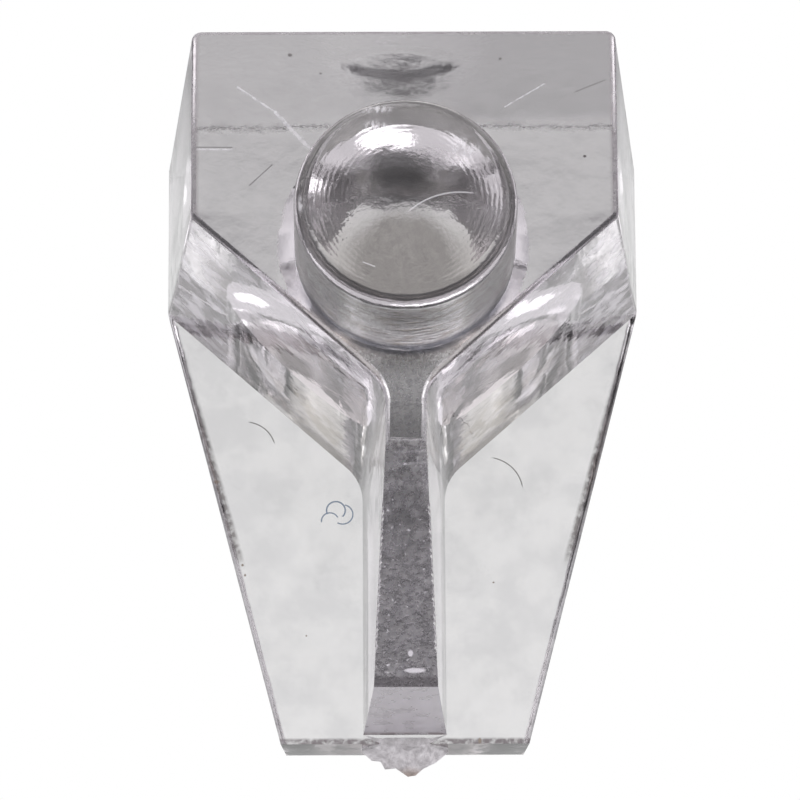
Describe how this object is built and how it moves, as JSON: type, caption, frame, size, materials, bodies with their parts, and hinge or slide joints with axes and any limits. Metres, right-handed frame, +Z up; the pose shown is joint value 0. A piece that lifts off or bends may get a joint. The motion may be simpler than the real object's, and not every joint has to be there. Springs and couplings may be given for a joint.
{
  "type": "shelf support pin",
  "caption": "Clear moulded shelf support: a short round pin for a cabinet side hole, a flat rest on top, and a back plate stiffened by a gusset rib.",
  "frame": {"origin": "centre of the pin where it leaves the wall face", "axes": "+Z up, out of the shelf rest; -Y along the pin, into the cabinet side; +X to the right seen from the cabinet side"},
  "size_m": [0.0112, 0.0124, 0.0152],
  "materials": {
    "clear_plastic": "clear, faintly lilac, scuffed"
  },
  "bodies": {
    "root": {"shelf_support_pin": "clear_plastic"}
  },
  "joints": []
}
